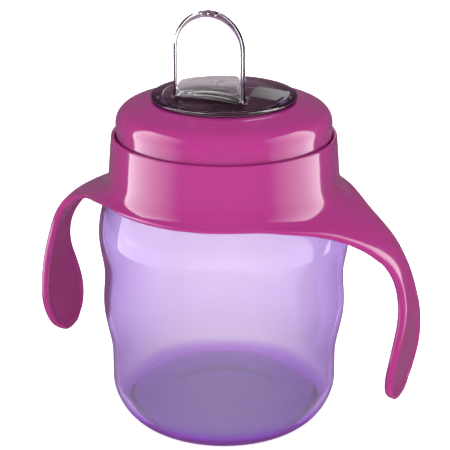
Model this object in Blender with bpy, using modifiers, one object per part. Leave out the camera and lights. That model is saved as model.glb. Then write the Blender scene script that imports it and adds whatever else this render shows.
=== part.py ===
"""Toddler's drinking cup with two handles, as an assembly of six pieces.

The origin is the centre of the foot. +Z is up, the handles point along +X and -X, and the spout stands
towards -Y. Lengths are in metres. The cup stands still, the screw ring turns on its neck, and the spout
rises with the ring.
"""

import math

import bmesh
import bpy

# Cup body: the outer wall, from the foot to the rim
FOOT_RADIUS = 0.0265
FOOT_CORNER_HEIGHT = 0.0115
CORNER_POWER = 1.6
BARREL_RADIUS = 0.0347
BARREL_HEIGHT = 0.0085
BELLY_RADIUS = 0.0371
BELLY_RISE = 0.0175
WAIST_RADIUS = 0.0366
WAIST_RISE = 0.0090
SHOULDER_RADIUS = 0.0381
SHOULDER_RISE = 0.0135
SHOULDER_HEIGHT = 0.0165
LEDGE_WIDTH = 0.0032
NECK_RADIUS = 0.0286
NECK_HEIGHT = 0.0186
CUP_WALL = 0.0016
FLOOR_THICKNESS = 0.0020
RECESS_RADIUS = 0.0220
RECESS_DEPTH = 0.0008

# Thread between the neck and the screw ring
THREAD_PITCH = 0.0050
TOOTH_DEPTH = 0.0013
TOOTH_ROOT_WIDTH = 0.0024
TOOTH_TIP_WIDTH = 0.0010
TOOTH_SUNK = 0.0006
THREAD_GAP = 0.00045
NECK_THREAD_TURNS = 1.25
NECK_THREAD_START = 0.0080
RING_THREAD_TURNS = 1.0

# Gaps between touching pieces
SEAT_GAP = 0.0003
SLIDE_GAP = 0.00035
SKIRT_GAP = 0.0003

# Handle ring: collar, skirt and two handles
FLANGE_THICKNESS = 0.0020
COLLAR_HEIGHT = 0.0118
COLLAR_LIP_WALL = 0.00105
COLLAR_DRAFT = 0.0009
SKIRT_FLARE = 0.0034
SKIRT_DROP = 0.0057
SKIRT_WALL = 0.0017
HANDLE_THICKNESS = 0.0028
CORE_SUNK = 0.0006

# Screw ring
RING_WALL = 0.0018
RING_SHOULDER = 0.0050
CROWN_SLOPE = math.radians(15.6)
RING_HOLE_RADIUS = 0.0202
CLAMP_THICKNESS = 0.0017
CLAMP_WIDTH = 0.0042

# Spout
SEAL_THICKNESS = 0.0015
BODY_WALL = 0.0018
BEAD_OVERLAP = 0.0014
BEAD_HEIGHT = 0.0006
DISC_BEVEL_WIDTH = 0.0026
DISC_BEVEL_HEIGHT = 0.0005
DOME_RISE = 0.0020
DOME_WALL = 0.0014
SPOUT_FORWARD = 0.0098
SPOUT_HALF_WIDTH = 0.0112
SPOUT_HALF_THICKNESS = 0.0035
SPOUT_HEIGHT = 0.0266
SPOUT_WALL = 0.0012
SPOUT_SECTION_POWER = 2.8
DRINKING_HOLE_RADIUS = 0.0009
DRINKING_HOLE_SPACING = 0.0040

# Valve
HOLDER_PLATE = 0.0012
HOLDER_LIP = 0.0030
HOLDER_WALL = 0.0014
SPIGOT_HEIGHT = 0.0022
SOCKET_RADIUS = 0.0086
SOCKET_DEPTH = 0.0038
SOCKET_LEDGE = 0.0020
VENT_RADIUS = 0.0009
MEMBRANE_WEB = 0.0007
MEMBRANE_RIM_WIDTH = 0.0016
MEMBRANE_RIM_HEIGHT = 0.0026
MEMBRANE_RISE = 0.0012
SLIT_WIDTH = 0.0003
SLIT_LENGTH = 0.0060

# How finely round shapes are cut into facets
TURNED_STEPS = 48
THREAD_STEPS_PER_TURN = 48
ARC_STEPS = 5
SPOUT_STEPS = 28
OVERRUN = 0.0050

# Colours
MAGENTA = (0.47, 0.035, 0.245, 1.0)
VIOLET = (0.42, 0.30, 0.72, 1.0)
CLEAR = (0.93, 0.92, 0.94, 1.0)
PLUM = (0.09, 0.03, 0.06, 1.0)
SMOKE = (0.30, 0.27, 0.30, 1.0)

# Heights and radii that follow from the sizes above
BARREL_TOP = FOOT_CORNER_HEIGHT + BARREL_HEIGHT
BELLY_Z = BARREL_TOP + BELLY_RISE
WAIST_Z = BELLY_Z + WAIST_RISE
SHOULDER_Z = WAIST_Z + SHOULDER_RISE
LEDGE_Z = SHOULDER_Z + SHOULDER_HEIGHT
RIM_Z = LEDGE_Z + NECK_HEIGHT
LEDGE_RADIUS = NECK_RADIUS + LEDGE_WIDTH
NECK_BORE = NECK_RADIUS - CUP_WALL
TOOTH_TIP_RADIUS = NECK_RADIUS + TOOTH_DEPTH

FLANGE_BOTTOM = LEDGE_Z + SEAT_GAP
FLANGE_TOP = FLANGE_BOTTOM + FLANGE_THICKNESS
FLANGE_BORE = TOOTH_TIP_RADIUS + SLIDE_GAP
RING_BOTTOM = FLANGE_TOP + SEAT_GAP
RING_BORE = TOOTH_TIP_RADIUS + THREAD_GAP
RING_RADIUS = RING_BORE + RING_WALL
COLLAR_BORE = RING_RADIUS + SLIDE_GAP
COLLAR_LIP_Z = FLANGE_TOP + COLLAR_HEIGHT
COLLAR_LIP_RADIUS = COLLAR_BORE + COLLAR_LIP_WALL
COLLAR_RADIUS = COLLAR_LIP_RADIUS + COLLAR_DRAFT
SKIRT_RADIUS = COLLAR_RADIUS + SKIRT_FLARE
SKIRT_BOTTOM = FLANGE_TOP - SKIRT_DROP

SEAL_BOTTOM = RIM_Z + SEAT_GAP
SEAL_TOP = SEAL_BOTTOM + SEAL_THICKNESS
CLAMP_Z = SEAL_TOP + SEAT_GAP
SHOULDER_ARC_RADIUS = RING_RADIUS - RING_SHOULDER
SHOULDER_ARC_Z = CLAMP_Z + CLAMP_THICKNESS - RING_SHOULDER * math.cos(CROWN_SLOPE)
CROWN_FOOT_RADIUS = SHOULDER_ARC_RADIUS + RING_SHOULDER * math.sin(CROWN_SLOPE)
CROWN_FOOT_Z = SHOULDER_ARC_Z + RING_SHOULDER * math.cos(CROWN_SLOPE)
CLAMP_BORE = RING_BORE - CLAMP_WIDTH


def crown_z(radius):
    """The height of the screw ring's sloping top at this radius."""
    return CROWN_FOOT_Z + (CROWN_FOOT_RADIUS - radius) * math.tan(CROWN_SLOPE)


HOLE_TOP_Z = crown_z(RING_HOLE_RADIUS)
GROOVE_RADIUS = RING_HOLE_RADIUS - SLIDE_GAP
BODY_BORE = GROOVE_RADIUS - BODY_WALL
BEAD_RADIUS = RING_HOLE_RADIUS + BEAD_OVERLAP
BEAD_BOTTOM = HOLE_TOP_Z + SEAT_GAP
BEAD_TOP = BEAD_BOTTOM + BEAD_HEIGHT
DISC_RADIUS = BEAD_RADIUS - DISC_BEVEL_WIDTH
DISC_Z = BEAD_TOP + DISC_BEVEL_HEIGHT
SPOUT_TIP = DISC_Z + SPOUT_HEIGHT

HOLDER_TOP = SEAL_TOP - SEAT_GAP
HOLDER_BOTTOM = HOLDER_TOP - HOLDER_PLATE
SPIGOT_RADIUS = BODY_BORE - SLIDE_GAP
HOLDER_RADIUS = SPIGOT_RADIUS + HOLDER_LIP
MOUTH_RADIUS = HOLDER_RADIUS + SLIDE_GAP
SOCKET_BOTTOM = HOLDER_BOTTOM - SOCKET_DEPTH
LEDGE_BORE = SOCKET_RADIUS - SOCKET_LEDGE
MEMBRANE_RADIUS = SOCKET_RADIUS - SLIDE_GAP
MEMBRANE_TOP = HOLDER_BOTTOM - SEAT_GAP
MEMBRANE_BOTTOM = MEMBRANE_TOP - MEMBRANE_RIM_HEIGHT

# The handle's rows, from the skirt to the tip of the paddle. Each row gives, for the outer surface, how far
# its middle stands out from the skirt's lower edge and above it, the same for its side edges, and its half
# width.
HANDLE_ROWS = (
    (0.0029, -0.0020, -0.0063, -0.0008, 0.0242),
    (0.0059, -0.0031, -0.0008, -0.0022, 0.0186),
    (0.0091, -0.0046, 0.0040, -0.0041, 0.0142),
    (0.0121, -0.0064, 0.0087, -0.0061, 0.0111),
    (0.0151, -0.0088, 0.0131, -0.0086, 0.0087),
    (0.0180, -0.0119, 0.0168, -0.0120, 0.0069),
    (0.0203, -0.0156, 0.0197, -0.0158, 0.0057),
    (0.0219, -0.0197, 0.0216, -0.0198, 0.0053),
    (0.0229, -0.0240, 0.0227, -0.0240, 0.0057),
    (0.0236, -0.0280, 0.0234, -0.0280, 0.0067),
    (0.0237, -0.0320, 0.0236, -0.0320, 0.0081),
    (0.0234, -0.0360, 0.0233, -0.0360, 0.0096),
    (0.0230, -0.0400, 0.0229, -0.0400, 0.0109),
    (0.0225, -0.0440, 0.0224, -0.0440, 0.0116),
    (0.0218, -0.0480, 0.0217, -0.0480, 0.0112),
    (0.0212, -0.0519, 0.0212, -0.0517, 0.0096),
    (0.0208, -0.0556, 0.0208, -0.0548, 0.0070),
    (0.0206, -0.0582, 0.0206, -0.0568, 0.0038),
)
# Where a row's points lie between its middle and its edge
HANDLE_SHARES = (0.0, 0.25, 0.5, 0.75, 1.0)
# The net's columns round the collar, in degrees from the handle's middle: under the handle, then beyond it
ROOT_ANGLES = (0, 12, 24, 36, 48)
SKIRT_ANGLES = (62, 76, 90)
# Smoothing draws a round net inwards to this share of its radius
SMOOTHING_SHRINK = 0.994
# The skirt's profile, as shares of its flare and of its drop from the flange's top
WALL_UP = 0.33
BEND_OUT = 0.08
BEND_DOWN = 0.3
FOOT_OUT = 0.38
FOOT_DOWN = 0.76
EDGE_DIP = 0.12


def clear_scene():
    for old in list(bpy.data.objects):
        bpy.data.objects.remove(old)


def new_collection(name, hidden=False):
    collection = bpy.data.collections.new(name)
    collection.hide_render = hidden
    bpy.context.scene.collection.children.link(collection)
    return collection


def plastic(name, colour, roughness, alpha=1.0, transmission=0.0):
    material = bpy.data.materials.new(name)
    material.use_nodes = True
    shader = material.node_tree.nodes["Principled BSDF"]
    shader.inputs["Base Color"].default_value = colour
    shader.inputs["Roughness"].default_value = roughness
    shader.inputs["Metallic"].default_value = 0.0
    shader.inputs["Alpha"].default_value = alpha
    shader.inputs["Transmission Weight"].default_value = transmission
    return material


def add_object(name, mesh, collection, material=None):
    piece = bpy.data.objects.new(name, mesh)
    collection.objects.link(piece)
    if material:
        mesh.materials.append(material)
    return piece


def make_cutter(name, mesh, cutters):
    cutter = add_object(name, mesh, cutters)
    cutter.hide_render = True
    cutter.display_type = "WIRE"
    return cutter


def profile_mesh(name, points, closed):
    """Edges in the XZ plane through (radius, height) points, for a Screw modifier to turn."""
    mesh = bpy.data.meshes.new(name)
    edges = [(i, i + 1) for i in range(len(points) - 1)]
    if closed:
        edges.append((len(points) - 1, 0))
    mesh.from_pydata([(radius, 0, height) for radius, height in points], edges, [])
    return mesh


def turn(piece):
    """Turns the piece's profile round Z."""
    screw = piece.modifiers.new("Turn", "SCREW")
    screw.steps = TURNED_STEPS
    screw.render_steps = TURNED_STEPS
    screw.use_merge_vertices = True
    screw.merge_threshold = 0.00001
    screw.use_smooth_shade = True


def boolean(piece, other, operation):
    modifier = piece.modifiers.new(other.name, "BOOLEAN")
    modifier.operation = operation
    modifier.solver = "EXACT"
    modifier.object = other


def ease(low, high, share):
    """Goes from low to high with no slope at either end."""
    return low + (high - low) * (1 - math.cos(math.pi * share)) / 2


def corner(inner, outer, share):
    """Goes from the outer radius at share 0 to the inner one at share 1, along a superellipse."""
    return inner + (outer - inner) * max(0, 1 - share**CORNER_POWER) ** (1 / CORNER_POWER)


def cup_radius(z):
    """The outer radius of the cup's wall at height z, up to the ledge under the neck."""
    if z < FOOT_CORNER_HEIGHT:
        return corner(FOOT_RADIUS, BARREL_RADIUS, 1 - z / FOOT_CORNER_HEIGHT)
    if z < BARREL_TOP:
        return BARREL_RADIUS
    if z < BELLY_Z:
        return ease(BARREL_RADIUS, BELLY_RADIUS, (z - BARREL_TOP) / BELLY_RISE)
    if z < WAIST_Z:
        return ease(BELLY_RADIUS, WAIST_RADIUS, (z - BELLY_Z) / WAIST_RISE)
    if z < SHOULDER_Z:
        return ease(WAIST_RADIUS, SHOULDER_RADIUS, (z - WAIST_Z) / SHOULDER_RISE)
    return corner(LEDGE_RADIUS, SHOULDER_RADIUS, (z - SHOULDER_Z) / SHOULDER_HEIGHT)


def spread(low, high, count):
    """Evenly spaced values from low to high."""
    return [low + (high - low) * i / (count - 1) for i in range(count)]


def arc(centre_radius, centre_z, radius, start, end, count=ARC_STEPS):
    """Points of a circular arc in the profile plane, with angles from the outward direction."""
    return [
        (centre_radius + radius * math.cos(a), centre_z + radius * math.sin(a))
        for a in spread(start, end, count)
    ]


def cup_heights():
    """Heights of the wall's points, closer together where it curves more."""
    corner_heights = [FOOT_CORNER_HEIGHT * (i / 5) ** 1.5 for i in range(5)]
    shoulder_heights = [SHOULDER_Z + SHOULDER_HEIGHT * (1 - (i / 6) ** 1.5) for i in range(6, -1, -1)]
    return (
        corner_heights
        + [FOOT_CORNER_HEIGHT, BARREL_TOP]
        + spread(BARREL_TOP, BELLY_Z, 6)[1:]
        + spread(BELLY_Z, WAIST_Z, 3)[1:]
        + spread(WAIST_Z, SHOULDER_Z, 5)[1:]
        + shoulder_heights[1:]
    )


def thread_ridge(name, root_radius, outwards, start_z, turns, collection):
    """A screw thread's ridge: its tooth's section spun round Z while it climbs."""
    side = 1 if outwards else -1
    foot_radius = root_radius - side * TOOTH_SUNK
    tip_radius = root_radius + side * TOOTH_DEPTH
    section = (
        (foot_radius, -TOOTH_ROOT_WIDTH / 2),
        (root_radius, -TOOTH_ROOT_WIDTH / 2),
        (tip_radius, -TOOTH_TIP_WIDTH / 2),
        (tip_radius, TOOTH_TIP_WIDTH / 2),
        (root_radius, TOOTH_ROOT_WIDTH / 2),
        (foot_radius, TOOTH_ROOT_WIDTH / 2),
    )
    steps = round(THREAD_STEPS_PER_TURN * turns)
    bm = bmesh.new()
    face = bm.faces.new([bm.verts.new((r, 0, start_z + z)) for r, z in section])
    bmesh.ops.spin(
        bm,
        geom=[face, *face.edges, *face.verts],
        cent=(0, 0, 0),
        axis=(0, 0, 1),
        dvec=(0, 0, THREAD_PITCH * turns / steps),
        angle=2 * math.pi * turns,
        steps=steps,
    )
    bmesh.ops.recalc_face_normals(bm, faces=bm.faces)
    mesh = bpy.data.meshes.new(name)
    bm.to_mesh(mesh)
    bm.free()
    return make_cutter(name, mesh, collection)


def make_cup_body(parts, cutters):
    heights = cup_heights()
    outer = [(cup_radius(z), z) for z in heights]
    inner = [(cup_radius(z) - CUP_WALL, max(z, FLOOR_THICKNESS)) for z in heights[2:-1]]
    ledge_inside = LEDGE_Z - CUP_WALL
    profile = (
        [(0, FLOOR_THICKNESS), (FOOT_RADIUS, FLOOR_THICKNESS)]
        + inner
        + [(NECK_BORE, ledge_inside), (NECK_BORE, RIM_Z), (NECK_RADIUS, RIM_Z), (NECK_RADIUS, LEDGE_Z)]
        + outer[::-1]
        + [(RECESS_RADIUS, 0), (RECESS_RADIUS, RECESS_DEPTH), (0, RECESS_DEPTH)]
    )
    cup = add_object(
        "cup_body",
        profile_mesh("cup_body", profile, closed=False),
        parts,
        plastic("violet_plastic", VIOLET, 0.25, alpha=0.6, transmission=0.6),
    )
    turn(cup)
    ridge = thread_ridge(
        "neck_thread",
        NECK_RADIUS,
        True,
        LEDGE_Z + NECK_THREAD_START,
        NECK_THREAD_TURNS,
        cutters,
    )
    boolean(cup, ridge, "UNION")
    return cup


def shell_rows():
    """A quarter of the collar and skirt's outer surface, row by row: (radius, height) in the middle of the
    handle, then away from the handle."""
    lip = (COLLAR_LIP_RADIUS, COLLAR_LIP_Z)
    flare = SKIRT_RADIUS - COLLAR_RADIUS
    drop = FLANGE_TOP - SKIRT_BOTTOM
    wall = (COLLAR_RADIUS, FLANGE_TOP + drop * WALL_UP)
    bend = (COLLAR_RADIUS + flare * BEND_OUT, FLANGE_TOP - drop * BEND_DOWN)
    foot = (COLLAR_RADIUS + flare * FOOT_OUT, FLANGE_TOP - drop * FOOT_DOWN)
    edge = (SKIRT_RADIUS, SKIRT_BOTTOM)
    dipped = (SKIRT_RADIUS, SKIRT_BOTTOM - drop * EDGE_DIP)
    return (lip, lip), (wall, wall), (bend, bend), (foot, foot), (dipped, edge)


def shell_cage():
    """Points and faces for a quarter of the collar, the skirt and one handle's outer surface, as one net.

    The skirt's lowest row carries on outwards as the handle's rows, so the skirt's edge runs on as the
    handle's side edge."""
    angles = [math.radians(angle) for angle in ROOT_ANGLES + SKIRT_ANGLES]
    points, faces = [], []
    for middle, away in shell_rows():
        for index, angle in enumerate(angles):
            share = min(index / (len(ROOT_ANGLES) - 1), 1) ** 2
            radius = (middle[0] + (away[0] - middle[0]) * share) / SMOOTHING_SHRINK
            height = middle[1] + (away[1] - middle[1]) * share
            points.append((radius * math.cos(angle), radius * math.sin(angle), height))
    across = len(angles)
    shell_count = len(shell_rows())
    for row in range(shell_count - 1):
        for column in range(across - 1):
            start = row * across + column
            faces.append((start, start + 1, start + across + 1, start + across))
    last = [(shell_count - 1) * across + column for column in range(len(ROOT_ANGLES))]
    for middle_out, middle_up, edge_out, edge_up, half_width in HANDLE_ROWS:
        row = []
        for share in HANDLE_SHARES:
            out = middle_out + (edge_out - middle_out) * share**2
            up = middle_up + (edge_up - middle_up) * share**2
            row.append(len(points))
            points.append((SKIRT_RADIUS + out, half_width * share, SKIRT_BOTTOM + up))
        for column in range(len(row) - 1):
            faces.append((last[column], last[column + 1], row[column + 1], row[column]))
        last = row
    return points, faces, shell_count * across


def make_handle_ring(parts, cutters):
    """The collar, skirt and handles: one smoothed sheet with a thickness, joined to the core that has the
    flange, and cut out for the screw ring and the cup."""
    points, faces, shell_points = shell_cage()
    mesh = bpy.data.meshes.new("handle_ring")
    mesh.from_pydata(points, [], [face[::-1] for face in faces])
    ring = add_object("handle_ring", mesh, parts, plastic("magenta_plastic", MAGENTA, 0.18))
    thick = ring.vertex_groups.new(name="thick")
    rows = len(HANDLE_ROWS)
    for index in range(shell_points, len(points)):
        row = (index - shell_points) // len(HANDLE_SHARES)
        thick.add([index], min(1, (row + 1) / (rows / 2)), "REPLACE")
    mirror = ring.modifiers.new("Quarters", "MIRROR")
    mirror.use_axis = (True, True, False)
    mirror.merge_threshold = 0.00001
    smooth = ring.modifiers.new("Smooth", "SUBSURF")
    smooth.levels = 1
    smooth.render_levels = 1
    solidify = ring.modifiers.new("Thickness", "SOLIDIFY")
    solidify.thickness = HANDLE_THICKNESS
    solidify.offset = -1
    solidify.vertex_group = "thick"
    solidify.thickness_vertex_group = SKIRT_WALL / HANDLE_THICKNESS

    core = [
        (0, COLLAR_LIP_Z - CORE_SUNK),
        (COLLAR_LIP_RADIUS - CORE_SUNK, COLLAR_LIP_Z - CORE_SUNK),
        (COLLAR_RADIUS - CORE_SUNK, FLANGE_TOP),
        (COLLAR_RADIUS - CORE_SUNK, FLANGE_BOTTOM),
        (0, FLANGE_BOTTOM),
    ]
    join = make_cutter("handle_ring_core", profile_mesh("handle_ring_core", core, closed=False), cutters)
    turn(join)
    boolean(ring, join, "UNION")

    bore = [
        (0, COLLAR_LIP_Z + OVERRUN),
        (COLLAR_BORE, COLLAR_LIP_Z + OVERRUN),
        (COLLAR_BORE, FLANGE_TOP),
        (FLANGE_BORE, FLANGE_TOP),
        (FLANGE_BORE, SKIRT_BOTTOM - OVERRUN),
        (0, SKIRT_BOTTOM - OVERRUN),
    ]
    cavity = make_cutter("handle_ring_bore", profile_mesh("handle_ring_bore", bore, closed=False), cutters)
    turn(cavity)
    boolean(ring, cavity, "DIFFERENCE")

    heights = spread(LEDGE_Z, SHOULDER_Z, 12)
    room = (
        [(0, LEDGE_Z + SEAT_GAP / 2), (LEDGE_RADIUS + SKIRT_GAP, LEDGE_Z + SEAT_GAP / 2)]
        + [(cup_radius(z) + SKIRT_GAP, z) for z in heights]
        + [(SHOULDER_RADIUS + SKIRT_GAP, WAIST_Z), (0, WAIST_Z)]
    )
    clearance = make_cutter("shoulder_room", profile_mesh("shoulder_room", room, closed=False), cutters)
    turn(clearance)
    boolean(ring, clearance, "DIFFERENCE")
    return ring


def make_screw_ring(parts, cutters):
    crown_wall = CLAMP_THICKNESS
    roof_step = (CLAMP_BORE - CLAMP_THICKNESS, crown_z(CLAMP_BORE - CLAMP_THICKNESS) - crown_wall)
    profile = (
        [(RING_HOLE_RADIUS, HOLE_TOP_Z)]
        + arc(
            SHOULDER_ARC_RADIUS,
            SHOULDER_ARC_Z,
            RING_SHOULDER,
            math.pi / 2 - CROWN_SLOPE,
            0,
            7,
        )
        + [(RING_RADIUS, RING_BOTTOM), (RING_BORE, RING_BOTTOM), (RING_BORE, CLAMP_Z)]
        + [(CLAMP_BORE, CLAMP_Z), roof_step, (RING_HOLE_RADIUS, HOLE_TOP_Z - crown_wall)]
    )
    ring = add_object(
        "screw_ring",
        profile_mesh("screw_ring", profile, closed=True),
        parts,
        bpy.data.materials["magenta_plastic"],
    )
    turn(ring)
    tooth_spacing = TOOTH_ROOT_WIDTH / 2 + TOOTH_TIP_WIDTH / 2 + THREAD_GAP
    ridge = thread_ridge(
        "ring_thread",
        RING_BORE,
        False,
        LEDGE_Z + NECK_THREAD_START - tooth_spacing,
        RING_THREAD_TURNS,
        cutters,
    )
    boolean(ring, ridge, "UNION")
    return ring


def spout_section(half_width, half_thickness, z):
    """One level section of the spout: a superellipse, flat at the front and back and round at the ends."""
    points = []
    for i in range(SPOUT_STEPS):
        angle = 2 * math.pi * i / SPOUT_STEPS
        x = math.copysign(abs(math.cos(angle)) ** (2 / SPOUT_SECTION_POWER), math.cos(angle))
        y = math.copysign(abs(math.sin(angle)) ** (2 / SPOUT_SECTION_POWER), math.sin(angle))
        points.append((half_width * x, half_thickness * y - SPOUT_FORWARD, z))
    return points


def spout_mesh(name, inset, bottom):
    """The spout's arch as a loft of level sections, straight at first and round at the top."""
    half_width = SPOUT_HALF_WIDTH - inset
    half_thickness = SPOUT_HALF_THICKNESS - inset
    round_z = SPOUT_TIP - SPOUT_HALF_WIDTH
    sections = [(bottom, half_width, half_thickness)]
    for i in range(8):
        angle = math.pi / 2 * i / 8
        narrowing = math.cos(angle)
        sections.append(
            (
                round_z + half_width * math.sin(angle),
                half_width * narrowing,
                half_thickness * narrowing**0.45,
            )
        )
    bm = bmesh.new()
    rings = []
    for z, width, thickness in sections:
        verts = [bm.verts.new(point) for point in spout_section(width, thickness, z)]
        rings.append(verts)
    for low, high in zip(rings, rings[1:]):
        for i in range(SPOUT_STEPS):
            j = (i + 1) % SPOUT_STEPS
            bm.faces.new((low[i], low[j], high[j], high[i]))
    bm.faces.new(rings[0][::-1])
    bm.faces.new(rings[-1])
    bmesh.ops.recalc_face_normals(bm, faces=bm.faces)
    mesh = bpy.data.meshes.new(name)
    bm.to_mesh(mesh)
    bm.free()
    return mesh


def make_spout(parts, cutters):
    seal_radius = NECK_RADIUS
    body_step = CLAMP_BORE - SLIDE_GAP
    body_top = crown_z(RING_HOLE_RADIUS) - CLAMP_THICKNESS - SEAT_GAP
    slope_foot = body_step - CLAMP_THICKNESS
    slope_top = crown_z(slope_foot) - CLAMP_THICKNESS - SEAT_GAP
    dome = [
        (DISC_RADIUS * (1 - i / 4), DISC_Z + DOME_RISE * (1 - (1 - i / 4) ** 2))
        for i in range(4, -1, -1)
    ]
    profile = (
        dome
        + [(BEAD_RADIUS, BEAD_TOP), (BEAD_RADIUS, BEAD_BOTTOM), (GROOVE_RADIUS, BEAD_BOTTOM)]
        + [(GROOVE_RADIUS, body_top), (slope_foot, slope_top)]
        + [(body_step, SEAL_TOP), (seal_radius, SEAL_TOP), (seal_radius, SEAL_BOTTOM)]
        + [(0, SEAL_BOTTOM)]
    )
    spout = add_object(
        "spout",
        profile_mesh("spout", profile, closed=False),
        parts,
        plastic("clear_silicone", CLEAR, 0.08, alpha=0.35, transmission=1.0),
    )
    turn(spout)
    horn = make_cutter("spout_horn", spout_mesh("spout_horn", 0, DISC_Z - DOME_WALL / 2), cutters)
    boolean(spout, horn, "UNION")

    roof = DISC_Z - DOME_WALL
    cavity = (
        [(0, roof + DOME_RISE), (BODY_BORE / 2, roof + DOME_RISE * 3 / 4), (BODY_BORE, roof)]
        + [(BODY_BORE, SEAL_TOP), (MOUTH_RADIUS, SEAL_TOP)]
        + [(MOUTH_RADIUS, SEAL_BOTTOM - OVERRUN), (0, SEAL_BOTTOM - OVERRUN)]
    )
    under = make_cutter("spout_cavity", profile_mesh("spout_cavity", cavity, closed=False), cutters)
    turn(under)
    boolean(spout, under, "DIFFERENCE")
    hollow = make_cutter(
        "spout_hollow", spout_mesh("spout_hollow", SPOUT_WALL, DISC_Z - DOME_WALL - DOME_RISE), cutters
    )
    boolean(spout, hollow, "DIFFERENCE")
    for number in (-1, 0, 1):
        hole = drill(
            f"drinking_hole_{number + 2}",
            DRINKING_HOLE_RADIUS,
            (number * DRINKING_HOLE_SPACING, -SPOUT_FORWARD),
            SPOUT_TIP - SPOUT_HALF_WIDTH,
            SPOUT_TIP + OVERRUN,
            cutters,
        )
        boolean(spout, hole, "DIFFERENCE")
    return spout


def drill(name, radius, place, bottom, top, cutters):
    """An upright round cutter from bottom to top."""
    bm = bmesh.new()
    bmesh.ops.create_cone(
        bm, cap_ends=True, segments=12, radius1=radius, radius2=radius, depth=top - bottom
    )
    bmesh.ops.translate(bm, verts=bm.verts, vec=(place[0], place[1], (top + bottom) / 2))
    mesh = bpy.data.meshes.new(name)
    bm.to_mesh(mesh)
    bm.free()
    return make_cutter(name, mesh, cutters)


def make_valve_holder(parts, cutters):
    spigot_bore = SPIGOT_RADIUS - HOLDER_WALL
    socket_outside = SOCKET_RADIUS + HOLDER_WALL
    profile = [
        (SPIGOT_RADIUS, HOLDER_TOP + SPIGOT_HEIGHT),
        (SPIGOT_RADIUS, HOLDER_TOP),
        (HOLDER_RADIUS, HOLDER_TOP),
        (HOLDER_RADIUS, HOLDER_BOTTOM),
        (socket_outside, HOLDER_BOTTOM),
        (socket_outside, SOCKET_BOTTOM),
        (SOCKET_RADIUS, SOCKET_BOTTOM),
        (SOCKET_RADIUS, HOLDER_BOTTOM),
        (LEDGE_BORE, HOLDER_BOTTOM),
        (LEDGE_BORE, HOLDER_TOP),
        (spigot_bore, HOLDER_TOP),
        (spigot_bore, HOLDER_TOP + SPIGOT_HEIGHT),
    ]
    holder = add_object(
        "valve_holder",
        profile_mesh("valve_holder", profile, closed=True),
        parts,
        plastic("plum_plastic", PLUM, 0.35),
    )
    turn(holder)
    vent_place = ((socket_outside + spigot_bore) / 2, 0)
    vent = drill(
        "vent_hole", VENT_RADIUS, vent_place, HOLDER_BOTTOM - OVERRUN, HOLDER_TOP + OVERRUN, cutters
    )
    boolean(holder, vent, "DIFFERENCE")
    return holder


def make_valve_membrane(parts, cutters):
    web_radius = MEMBRANE_RADIUS - MEMBRANE_RIM_WIDTH
    web_z = (MEMBRANE_TOP + MEMBRANE_BOTTOM) / 2 - MEMBRANE_RISE
    crown = MEMBRANE_RISE + MEMBRANE_WEB
    profile = [
        (0, web_z + crown),
        (web_radius / 2, web_z + MEMBRANE_RISE * 3 / 4 + MEMBRANE_WEB),
        (web_radius, web_z + MEMBRANE_WEB),
        (web_radius, MEMBRANE_TOP),
        (MEMBRANE_RADIUS, MEMBRANE_TOP),
        (MEMBRANE_RADIUS, MEMBRANE_BOTTOM),
        (web_radius, MEMBRANE_BOTTOM),
        (web_radius, web_z),
        (web_radius / 2, web_z + MEMBRANE_RISE * 3 / 4),
        (0, web_z + MEMBRANE_RISE),
    ]
    membrane = add_object(
        "valve_membrane",
        profile_mesh("valve_membrane", profile, closed=False),
        parts,
        plastic("smoky_silicone", SMOKE, 0.3),
    )
    turn(membrane)
    for number, (x, y) in enumerate(((SLIT_LENGTH, SLIT_WIDTH), (SLIT_WIDTH, SLIT_LENGTH))):
        bm = bmesh.new()
        bmesh.ops.create_cube(bm, size=1)
        bmesh.ops.scale(bm, verts=bm.verts, vec=(x, y, OVERRUN * 2))
        bmesh.ops.translate(bm, verts=bm.verts, vec=(0, 0, web_z))
        mesh = bpy.data.meshes.new(f"slit_{number + 1}")
        bm.to_mesh(mesh)
        bm.free()
        boolean(membrane, make_cutter(f"slit_{number + 1}", mesh, cutters), "DIFFERENCE")
    return membrane


def main():
    clear_scene()
    parts = new_collection("sippy_cup")
    cutters = new_collection("cutters", hidden=True)
    make_cup_body(parts, cutters)
    make_handle_ring(parts, cutters)
    make_screw_ring(parts, cutters)
    make_spout(parts, cutters)
    make_valve_holder(parts, cutters)
    make_valve_membrane(parts, cutters)


main()
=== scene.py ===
# %% [markdown]
# # A toddler's drinking cup with two handles
#
# We build the looks of a small trainer cup round its engineering model. The engineering model is the frame:
# it says where each piece is and what it moves with. Each visible piece is modelled again here with smooth
# surfaces and real materials. We start by loading the frame, with a helper that reads a piece's box from it.

# %% Load the frame
import math

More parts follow.
